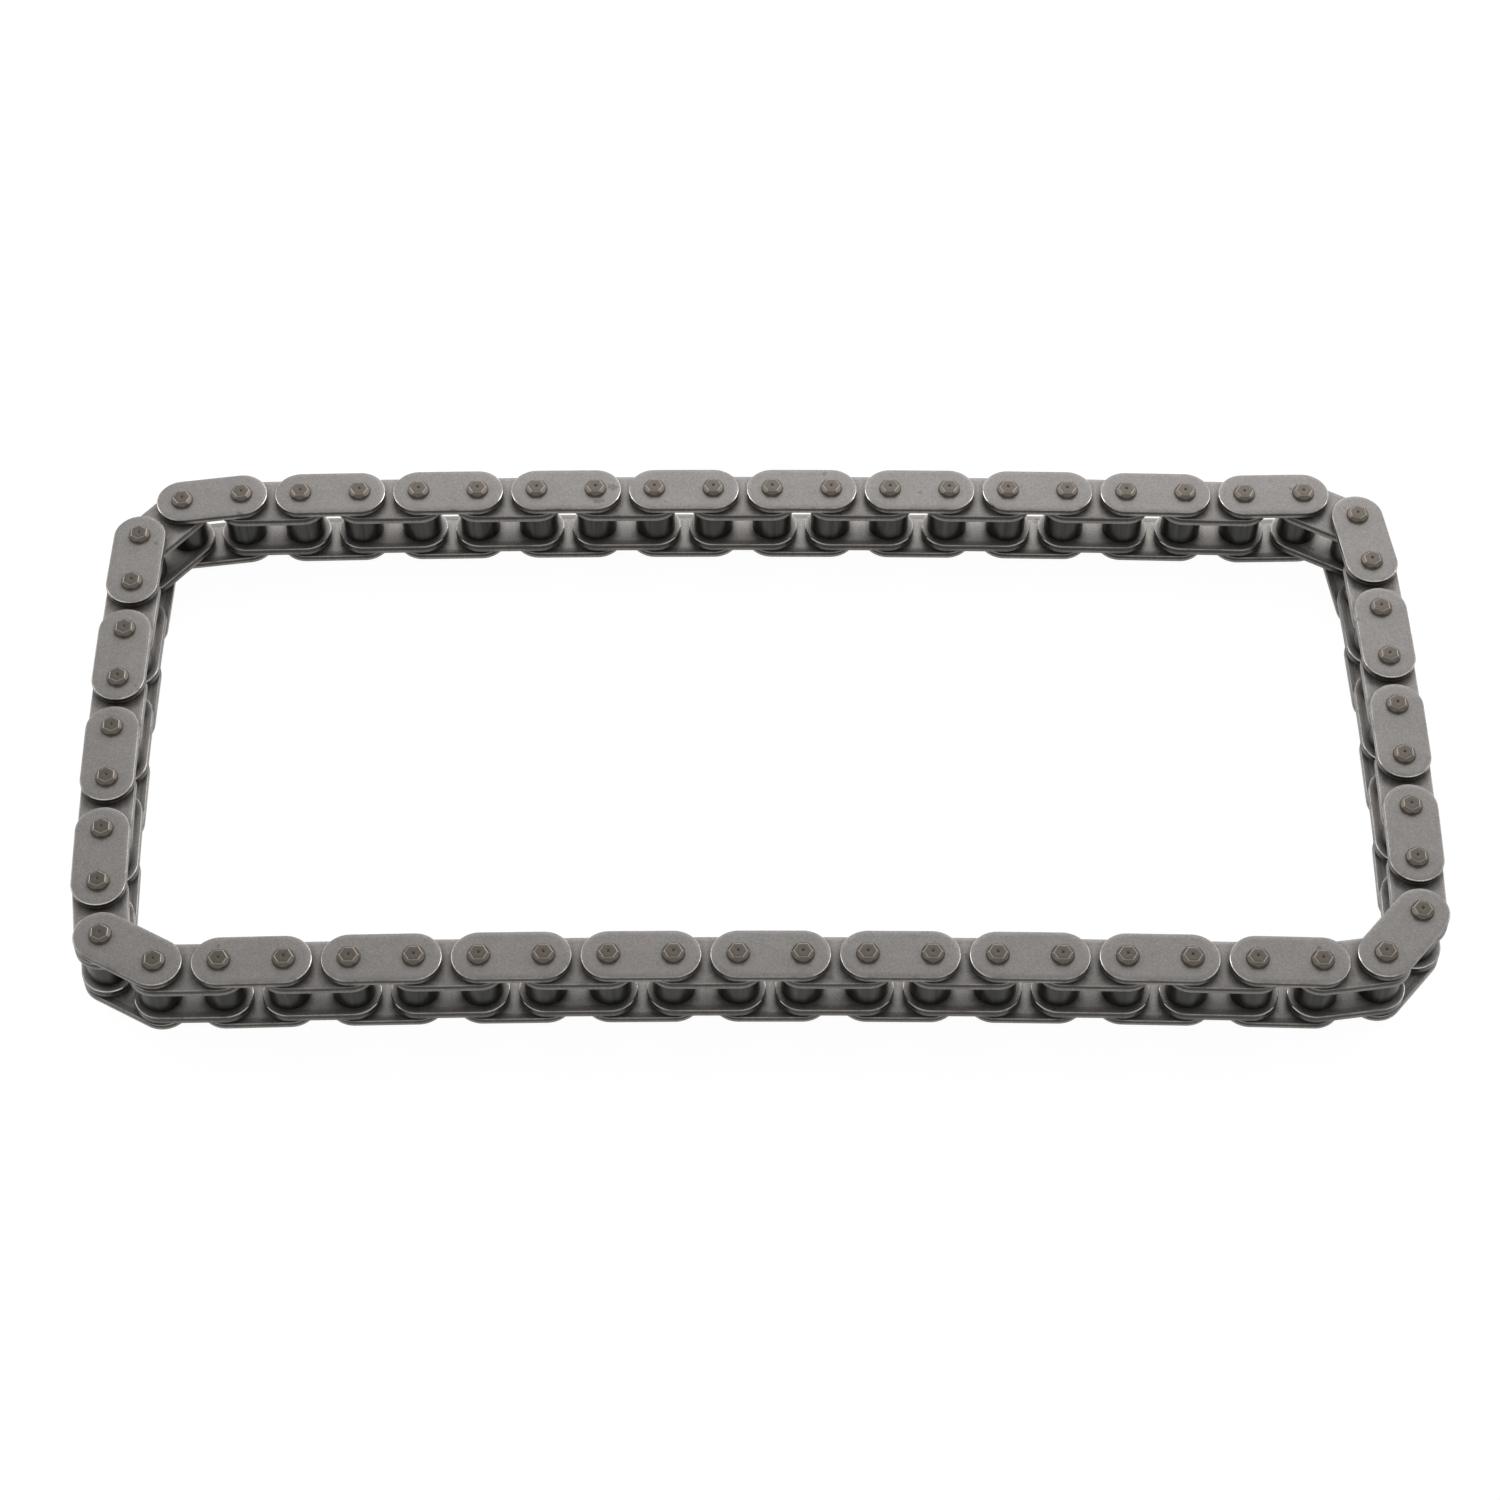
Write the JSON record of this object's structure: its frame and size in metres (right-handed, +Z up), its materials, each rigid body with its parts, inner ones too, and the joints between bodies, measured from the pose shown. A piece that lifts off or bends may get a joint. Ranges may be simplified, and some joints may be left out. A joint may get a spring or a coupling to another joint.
{
  "type": "timing chain",
  "caption": "Endless single-strand roller timing chain with riveted pins, 3/8 inch pitch, laid flat in a loop; every link pivots and the loop flexes.",
  "frame": {"origin": "under the middle of the loop's bounding box, on the plane of the lower pin ends", "axes": "+X along the loop's long side, +Y across it, +Z up along the pins"},
  "size_m": [0.2064, 0.0988, 0.0143],
  "materials": {
    "outer_link_steel": "matt grey tumbled steel plates with brownish polished pin ends",
    "inner_link_steel": "matt grey tumbled steel plates, dark bushes and rollers",
    "roller_steel": "near-black oiled steel"
  },
  "bodies": {
    "outer_link_01": {"outer_link_01": "outer_link_steel"},
    "inner_link_01": {"inner_link_01": "inner_link_steel"},
    "outer_link_02": {"outer_link_02": "outer_link_steel"},
    "inner_link_02": {"inner_link_02": "inner_link_steel"},
    "outer_link_03": {"outer_link_03": "outer_link_steel"},
    "inner_link_03": {"inner_link_03": "inner_link_steel"},
    "outer_link_04": {"outer_link_04": "outer_link_steel"},
    "inner_link_04": {"inner_link_04": "inner_link_steel"},
    "outer_link_05": {"outer_link_05": "outer_link_steel"},
    "inner_link_05": {"inner_link_05": "inner_link_steel"},
    "outer_link_06": {"outer_link_06": "outer_link_steel"},
    "inner_link_06": {"inner_link_06": "inner_link_steel"},
    "outer_link_07": {"outer_link_07": "outer_link_steel"},
    "inner_link_07": {"inner_link_07": "inner_link_steel"},
    "outer_link_08": {"outer_link_08": "outer_link_steel"},
    "inner_link_08": {"inner_link_08": "inner_link_steel"},
    "outer_link_09": {"outer_link_09": "outer_link_steel"},
    "inner_link_09": {"inner_link_09": "inner_link_steel"},
    "outer_link_10": {"outer_link_10": "outer_link_steel"},
    "inner_link_10": {"inner_link_10": "inner_link_steel"},
    "outer_link_11": {"outer_link_11": "outer_link_steel"},
    "inner_link_11": {"inner_link_11": "inner_link_steel"},
    "outer_link_12": {"outer_link_12": "outer_link_steel"},
    "inner_link_12": {"inner_link_12": "inner_link_steel"},
    "outer_link_13": {"outer_link_13": "outer_link_steel"},
    "inner_link_13": {"inner_link_13": "inner_link_steel"},
    "outer_link_14": {"outer_link_14": "outer_link_steel"},
    "inner_link_14": {"inner_link_14": "inner_link_steel"},
    "outer_link_15": {"outer_link_15": "outer_link_steel"},
    "inner_link_15": {"inner_link_15": "inner_link_steel"},
    "outer_link_16": {"outer_link_16": "outer_link_steel"},
    "inner_link_16": {"inner_link_16": "inner_link_steel"},
    "outer_link_17": {"outer_link_17": "outer_link_steel"},
    "inner_link_17": {"inner_link_17": "inner_link_steel"},
    "outer_link_18": {"outer_link_18": "outer_link_steel"},
    "inner_link_18": {"inner_link_18": "inner_link_steel"},
    "outer_link_19": {"outer_link_19": "outer_link_steel"},
    "inner_link_19": {"inner_link_19": "inner_link_steel"},
    "outer_link_20": {"outer_link_20": "outer_link_steel"},
    "inner_link_20": {"inner_link_20": "inner_link_steel"},
    "outer_link_21": {"outer_link_21": "outer_link_steel"},
    "inner_link_21": {"inner_link_21": "inner_link_steel"},
    "outer_link_22": {"outer_link_22": "outer_link_steel"},
    "inner_link_22": {"inner_link_22": "inner_link_steel"},
    "outer_link_23": {"outer_link_23": "outer_link_steel"},
    "inner_link_23": {"inner_link_23": "inner_link_steel"},
    "outer_link_24": {"outer_link_24": "outer_link_steel"},
    "inner_link_24": {"inner_link_24": "inner_link_steel"},
    "outer_link_25": {"outer_link_25": "outer_link_steel"},
    "inner_link_25": {"inner_link_25": "inner_link_steel"},
    "outer_link_26": {"outer_link_26": "outer_link_steel"},
    "inner_link_26": {"inner_link_26": "inner_link_steel"},
    "outer_link_27": {"outer_link_27": "outer_link_steel"},
    "inner_link_27": {"inner_link_27": "inner_link_steel"},
    "outer_link_28": {"outer_link_28": "outer_link_steel"},
    "inner_link_28": {"inner_link_28": "inner_link_steel"},
    "outer_link_29": {"outer_link_29": "outer_link_steel"},
    "inner_link_29": {"inner_link_29": "inner_link_steel"},
    "roller_05_a": {"roller_05_a": "roller_steel"},
    "roller_05_b": {"roller_05_b": "roller_steel"}
  },
  "joints": [
    {"name": "hinge_10", "type": "hinge", "parent": "inner_link_05", "child": "outer_link_06", "pos_m": [0.00266, 0.04526, 0.00715], "axis": [0, 0, 1], "range_deg": [-5.05, 5.05]},
    {"name": "long_run_ripple", "type": "hinge", "parent": "outer_link_06", "child": "inner_link_06", "pos_m": [0.01218, 0.04523, 0.00715], "axis": [0, 0, 1], "range_deg": [-12, 12]},
    {"name": "hinge_12", "type": "hinge", "parent": "inner_link_06", "child": "outer_link_07", "pos_m": [0.02171, 0.04516, 0.00715], "axis": [0, 0, 1], "range_deg": [-6.05, 6.05]},
    {"name": "hinge_13", "type": "hinge", "parent": "outer_link_07", "child": "inner_link_07", "pos_m": [0.03123, 0.04506, 0.00715], "axis": [0, 0, 1], "range_deg": [-5.05, 5.05]},
    {"name": "hinge_14", "type": "hinge", "parent": "inner_link_07", "child": "outer_link_08", "pos_m": [0.04076, 0.04493, 0.00715], "axis": [0, 0, 1], "range_deg": [-6.05, 6.05]},
    {"name": "hinge_15", "type": "hinge", "parent": "outer_link_08", "child": "inner_link_08", "pos_m": [0.05028, 0.04476, 0.00715], "axis": [0, 0, 1], "range_deg": [-6.05, 6.05]},
    {"name": "hinge_16", "type": "hinge", "parent": "inner_link_08", "child": "outer_link_09", "pos_m": [0.0598, 0.04456, 0.00715], "axis": [0, 0, 1], "range_deg": [-5.05, 5.05]},
    {"name": "hinge_17", "type": "hinge", "parent": "outer_link_09", "child": "inner_link_09", "pos_m": [0.06933, 0.04433, 0.00715], "axis": [0, 0, 1], "range_deg": [-6.05, 6.05]},
    {"name": "long_run_bow", "type": "hinge", "parent": "inner_link_09", "child": "outer_link_10", "pos_m": [0.07885, 0.04406, 0.00715], "axis": [0, 0, 1], "range_deg": [-15, 15]},
    {"name": "short_side_lean", "type": "hinge", "parent": "outer_link_10", "child": "inner_link_10", "pos_m": [0.08837, 0.04423, 0.00715], "axis": [0, 0, 1], "range_deg": [-15, 15]},
    {"name": "hinge_20", "type": "hinge", "parent": "inner_link_10", "child": "outer_link_11", "pos_m": [0.0967, 0.03961, 0.00715], "axis": [0, 0, 1], "range_deg": [-15.05, 15.05]},
    {"name": "short_side_bow", "type": "hinge", "parent": "outer_link_11", "child": "inner_link_11", "pos_m": [0.09803, 0.03018, 0.00715], "axis": [0, 0, 1], "range_deg": [-15, 15]},
    {"name": "hinge_22", "type": "hinge", "parent": "inner_link_11", "child": "outer_link_12", "pos_m": [0.09846, 0.02066, 0.00715], "axis": [0, 0, 1], "range_deg": [-5.05, 5.05]},
    {"name": "hinge_23", "type": "hinge", "parent": "outer_link_12", "child": "inner_link_12", "pos_m": [0.09878, 0.01115, 0.00715], "axis": [0, 0, 1], "range_deg": [-5.05, 5.05]},
    {"name": "hinge_24", "type": "hinge", "parent": "inner_link_12", "child": "outer_link_13", "pos_m": [0.09897, 0.00162, 0.00715], "axis": [0, 0, 1], "range_deg": [-10.05, 10.05]},
    {"name": "hinge_25", "type": "hinge", "parent": "outer_link_13", "child": "inner_link_13", "pos_m": [0.09906, -0.0079, 0.00715], "axis": [0, 0, 1], "range_deg": [-5.05, 5.05]},
    {"name": "hinge_26", "type": "hinge", "parent": "inner_link_13", "child": "outer_link_14", "pos_m": [0.09902, -0.01743, 0.00715], "axis": [0, 0, 1], "range_deg": [-5.05, 5.05]},
    {"name": "hinge_27", "type": "hinge", "parent": "outer_link_14", "child": "inner_link_14", "pos_m": [0.09887, -0.02695, 0.00715], "axis": [0, 0, 1], "range_deg": [-15.05, 15.05]},
    {"name": "hinge_28", "type": "hinge", "parent": "inner_link_14", "child": "outer_link_15", "pos_m": [0.09861, -0.03647, 0.00715], "axis": [0, 0, 1], "range_deg": [-15.05, 15.05]},
    {"name": "hinge_29", "type": "hinge", "parent": "outer_link_15", "child": "inner_link_15", "pos_m": [0.09249, -0.04377, 0.00715], "axis": [0, 0, 1], "range_deg": [-15.05, 15.05]},
    {"name": "hinge_30", "type": "hinge", "parent": "inner_link_15", "child": "outer_link_16", "pos_m": [0.08305, -0.04509, 0.00715], "axis": [0, 0, 1], "range_deg": [-15.05, 15.05]},
    {"name": "hinge_31", "type": "hinge", "parent": "outer_link_16", "child": "inner_link_16", "pos_m": [0.07353, -0.04483, 0.00715], "axis": [0, 0, 1], "range_deg": [-6.05, 6.05]},
    {"name": "hinge_32", "type": "hinge", "parent": "inner_link_16", "child": "outer_link_17", "pos_m": [0.06401, -0.0446, 0.00715], "axis": [0, 0, 1], "range_deg": [-5.05, 5.05]},
    {"name": "hinge_33", "type": "hinge", "parent": "outer_link_17", "child": "inner_link_17", "pos_m": [0.05449, -0.0444, 0.00715], "axis": [0, 0, 1], "range_deg": [-6.05, 6.05]},
    {"name": "hinge_34", "type": "hinge", "parent": "inner_link_17", "child": "outer_link_18", "pos_m": [0.04496, -0.04423, 0.00715], "axis": [0, 0, 1], "range_deg": [-6.05, 6.05]},
    {"name": "hinge_35", "type": "hinge", "parent": "outer_link_18", "child": "inner_link_18", "pos_m": [0.03544, -0.0441, 0.00715], "axis": [0, 0, 1], "range_deg": [-5.05, 5.05]},
    {"name": "hinge_36", "type": "hinge", "parent": "inner_link_18", "child": "outer_link_19", "pos_m": [0.02592, -0.044, 0.00715], "axis": [0, 0, 1], "range_deg": [-6.05, 6.05]},
    {"name": "hinge_37", "type": "hinge", "parent": "outer_link_19", "child": "inner_link_19", "pos_m": [0.01639, -0.04393, 0.00715], "axis": [0, 0, 1], "range_deg": [-12.05, 12.05]},
    {"name": "hinge_09", "type": "hinge", "parent": "inner_link_05", "child": "outer_link_05", "pos_m": [-0.00687, 0.04526, 0.00715], "axis": [0, 0, 1], "range_deg": [-5.05, 5.05]},
    {"name": "hinge_08", "type": "hinge", "parent": "outer_link_05", "child": "inner_link_04", "pos_m": [-0.01639, 0.04523, 0.00715], "axis": [0, 0, 1], "range_deg": [-12.05, 12.05]},
    {"name": "hinge_07", "type": "hinge", "parent": "inner_link_04", "child": "outer_link_04", "pos_m": [-0.02592, 0.04516, 0.00715], "axis": [0, 0, 1], "range_deg": [-6.05, 6.05]},
    {"name": "hinge_06", "type": "hinge", "parent": "outer_link_04", "child": "inner_link_03", "pos_m": [-0.03544, 0.04506, 0.00715], "axis": [0, 0, 1], "range_deg": [-5.05, 5.05]},
    {"name": "hinge_05", "type": "hinge", "parent": "inner_link_03", "child": "outer_link_03", "pos_m": [-0.04496, 0.04493, 0.00715], "axis": [0, 0, 1], "range_deg": [-6.05, 6.05]},
    {"name": "hinge_04", "type": "hinge", "parent": "outer_link_03", "child": "inner_link_02", "pos_m": [-0.05449, 0.04476, 0.00715], "axis": [0, 0, 1], "range_deg": [-6.05, 6.05]},
    {"name": "hinge_03", "type": "hinge", "parent": "inner_link_02", "child": "outer_link_02", "pos_m": [-0.06401, 0.04456, 0.00715], "axis": [0, 0, 1], "range_deg": [-5.05, 5.05]},
    {"name": "hinge_02", "type": "hinge", "parent": "outer_link_02", "child": "inner_link_01", "pos_m": [-0.07353, 0.04433, 0.00715], "axis": [0, 0, 1], "range_deg": [-6.05, 6.05]},
    {"name": "hinge_01", "type": "hinge", "parent": "inner_link_01", "child": "outer_link_01", "pos_m": [-0.08305, 0.04406, 0.00715], "axis": [0, 0, 1], "range_deg": [-15.05, 15.05]},
    {"name": "hinge_58", "type": "hinge", "parent": "outer_link_01", "child": "inner_link_29", "pos_m": [-0.09249, 0.04274, 0.00715], "axis": [0, 0, 1], "range_deg": [-15.05, 15.05]},
    {"name": "hinge_57", "type": "hinge", "parent": "inner_link_29", "child": "outer_link_29", "pos_m": [-0.09861, 0.03544, 0.00715], "axis": [0, 0, 1], "range_deg": [-15.05, 15.05]},
    {"name": "hinge_56", "type": "hinge", "parent": "outer_link_29", "child": "inner_link_28", "pos_m": [-0.09887, 0.02592, 0.00715], "axis": [0, 0, 1], "range_deg": [-15.05, 15.05]},
    {"name": "hinge_55", "type": "hinge", "parent": "inner_link_28", "child": "outer_link_28", "pos_m": [-0.09902, 0.0164, 0.00715], "axis": [0, 0, 1], "range_deg": [-5.05, 5.05]},
    {"name": "hinge_54", "type": "hinge", "parent": "outer_link_28", "child": "inner_link_27", "pos_m": [-0.09906, 0.00687, 0.00715], "axis": [0, 0, 1], "range_deg": [-5.05, 5.05]},
    {"name": "hinge_53", "type": "hinge", "parent": "inner_link_27", "child": "outer_link_27", "pos_m": [-0.09897, -0.00265, 0.00715], "axis": [0, 0, 1], "range_deg": [-10.05, 10.05]},
    {"name": "hinge_52", "type": "hinge", "parent": "outer_link_27", "child": "inner_link_26", "pos_m": [-0.09878, -0.01218, 0.00715], "axis": [0, 0, 1], "range_deg": [-5.05, 5.05]},
    {"name": "hinge_51", "type": "hinge", "parent": "inner_link_26", "child": "outer_link_26", "pos_m": [-0.09846, -0.0217, 0.00715], "axis": [0, 0, 1], "range_deg": [-5.05, 5.05]},
    {"name": "hinge_50", "type": "hinge", "parent": "outer_link_26", "child": "inner_link_25", "pos_m": [-0.09803, -0.03121, 0.00715], "axis": [0, 0, 1], "range_deg": [-15.05, 15.05]},
    {"name": "hinge_49", "type": "hinge", "parent": "inner_link_25", "child": "outer_link_25", "pos_m": [-0.0967, -0.04064, 0.00715], "axis": [0, 0, 1], "range_deg": [-15.05, 15.05]},
    {"name": "hinge_48", "type": "hinge", "parent": "outer_link_25", "child": "inner_link_24", "pos_m": [-0.08837, -0.04526, 0.00715], "axis": [0, 0, 1], "range_deg": [-15.05, 15.05]},
    {"name": "hinge_47", "type": "hinge", "parent": "inner_link_24", "child": "outer_link_24", "pos_m": [-0.07885, -0.04509, 0.00715], "axis": [0, 0, 1], "range_deg": [-15.05, 15.05]},
    {"name": "hinge_46", "type": "hinge", "parent": "outer_link_24", "child": "inner_link_23", "pos_m": [-0.06933, -0.04483, 0.00715], "axis": [0, 0, 1], "range_deg": [-6.05, 6.05]},
    {"name": "hinge_45", "type": "hinge", "parent": "inner_link_23", "child": "outer_link_23", "pos_m": [-0.0598, -0.0446, 0.00715], "axis": [0, 0, 1], "range_deg": [-5.05, 5.05]},
    {"name": "hinge_44", "type": "hinge", "parent": "outer_link_23", "child": "inner_link_22", "pos_m": [-0.05028, -0.0444, 0.00715], "axis": [0, 0, 1], "range_deg": [-6.05, 6.05]},
    {"name": "hinge_43", "type": "hinge", "parent": "inner_link_22", "child": "outer_link_22", "pos_m": [-0.04076, -0.04423, 0.00715], "axis": [0, 0, 1], "range_deg": [-6.05, 6.05]},
    {"name": "hinge_42", "type": "hinge", "parent": "outer_link_22", "child": "inner_link_21", "pos_m": [-0.03123, -0.0441, 0.00715], "axis": [0, 0, 1], "range_deg": [-5.05, 5.05]},
    {"name": "hinge_41", "type": "hinge", "parent": "inner_link_21", "child": "outer_link_21", "pos_m": [-0.02171, -0.044, 0.00715], "axis": [0, 0, 1], "range_deg": [-6.05, 6.05]},
    {"name": "hinge_40", "type": "hinge", "parent": "outer_link_21", "child": "inner_link_20", "pos_m": [-0.01218, -0.04393, 0.00715], "axis": [0, 0, 1], "range_deg": [-12.05, 12.05]},
    {"name": "hinge_39", "type": "hinge", "parent": "inner_link_20", "child": "outer_link_20", "pos_m": [-0.00266, -0.0439, 0.00715], "axis": [0, 0, 1], "range_deg": [-5.05, 5.05]},
    {"name": "roller_05_a_spin", "type": "hinge", "parent": "inner_link_05", "child": "roller_05_a", "pos_m": [-0.00687, 0.04526, 0.00715], "axis": [0, 0, 1], "continuous": true},
    {"name": "roller_05_b_spin", "type": "hinge", "parent": "inner_link_05", "child": "roller_05_b", "pos_m": [0.00266, 0.04526, 0.00715], "axis": [0, 0, 1], "continuous": true}
  ],
  "couplings": [
    {"joint": "hinge_10", "follows": "long_run_bow", "ratio": -0.33333},
    {"joint": "hinge_12", "follows": "long_run_ripple", "ratio": -0.5},
    {"joint": "hinge_13", "follows": "long_run_bow", "ratio": -0.33333},
    {"joint": "hinge_14", "follows": "long_run_ripple", "ratio": -0.5},
    {"joint": "hinge_15", "follows": "long_run_ripple", "ratio": -0.5},
    {"joint": "hinge_16", "follows": "long_run_bow", "ratio": -0.33333},
    {"joint": "hinge_17", "follows": "long_run_ripple", "ratio": 0.5},
    {"joint": "hinge_20", "follows": "short_side_lean", "ratio": 1},
    {"joint": "hinge_22", "follows": "short_side_bow", "ratio": -0.33333},
    {"joint": "hinge_23", "follows": "short_side_bow", "ratio": -0.33333},
    {"joint": "hinge_24", "follows": "short_side_bow", "ratio": -0.66667},
    {"joint": "hinge_25", "follows": "short_side_bow", "ratio": -0.33333},
    {"joint": "hinge_26", "follows": "short_side_bow", "ratio": -0.33333},
    {"joint": "hinge_27", "follows": "short_side_bow", "ratio": 1},
    {"joint": "hinge_28", "follows": "short_side_lean", "ratio": -1},
    {"joint": "hinge_29", "follows": "short_side_lean", "ratio": -1},
    {"joint": "hinge_30", "follows": "long_run_bow", "ratio": -1},
    {"joint": "hinge_31", "follows": "long_run_ripple", "ratio": -0.5},
    {"joint": "hinge_32", "follows": "long_run_bow", "ratio": 0.33333},
    {"joint": "hinge_33", "follows": "long_run_ripple", "ratio": 0.5},
    {"joint": "hinge_34", "follows": "long_run_ripple", "ratio": 0.5},
    {"joint": "hinge_35", "follows": "long_run_bow", "ratio": 0.33333},
    {"joint": "hinge_36", "follows": "long_run_ripple", "ratio": 0.5},
    {"joint": "hinge_37", "follows": "long_run_ripple", "ratio": -1},
    {"joint": "hinge_09", "follows": "long_run_bow", "ratio": 0.33333},
    {"joint": "hinge_08", "follows": "long_run_ripple", "ratio": -1},
    {"joint": "hinge_07", "follows": "long_run_ripple", "ratio": 0.5},
    {"joint": "hinge_06", "follows": "long_run_bow", "ratio": 0.33333},
    {"joint": "hinge_05", "follows": "long_run_ripple", "ratio": 0.5},
    {"joint": "hinge_04", "follows": "long_run_ripple", "ratio": 0.5},
    {"joint": "hinge_03", "follows": "long_run_bow", "ratio": 0.33333},
    {"joint": "hinge_02", "follows": "long_run_ripple", "ratio": -0.5},
    {"joint": "hinge_01", "follows": "long_run_bow", "ratio": -1},
    {"joint": "hinge_58", "follows": "short_side_lean", "ratio": 1},
    {"joint": "hinge_57", "follows": "short_side_lean", "ratio": 1},
    {"joint": "hinge_56", "follows": "short_side_bow", "ratio": -1},
    {"joint": "hinge_55", "follows": "short_side_bow", "ratio": 0.33333},
    {"joint": "hinge_54", "follows": "short_side_bow", "ratio": 0.33333},
    {"joint": "hinge_53", "follows": "short_side_bow", "ratio": 0.66667},
    {"joint": "hinge_52", "follows": "short_side_bow", "ratio": 0.33333},
    {"joint": "hinge_51", "follows": "short_side_bow", "ratio": 0.33333},
    {"joint": "hinge_50", "follows": "short_side_bow", "ratio": -1},
    {"joint": "hinge_49", "follows": "short_side_lean", "ratio": -1},
    {"joint": "hinge_48", "follows": "short_side_lean", "ratio": -1},
    {"joint": "hinge_47", "follows": "long_run_bow", "ratio": 1},
    {"joint": "hinge_46", "follows": "long_run_ripple", "ratio": 0.5},
    {"joint": "hinge_45", "follows": "long_run_bow", "ratio": -0.33333},
    {"joint": "hinge_44", "follows": "long_run_ripple", "ratio": -0.5},
    {"joint": "hinge_43", "follows": "long_run_ripple", "ratio": -0.5},
    {"joint": "hinge_42", "follows": "long_run_bow", "ratio": -0.33333},
    {"joint": "hinge_41", "follows": "long_run_ripple", "ratio": -0.5},
    {"joint": "hinge_40", "follows": "long_run_ripple", "ratio": 1},
    {"joint": "hinge_39", "follows": "long_run_bow", "ratio": -0.33333}
  ]
}
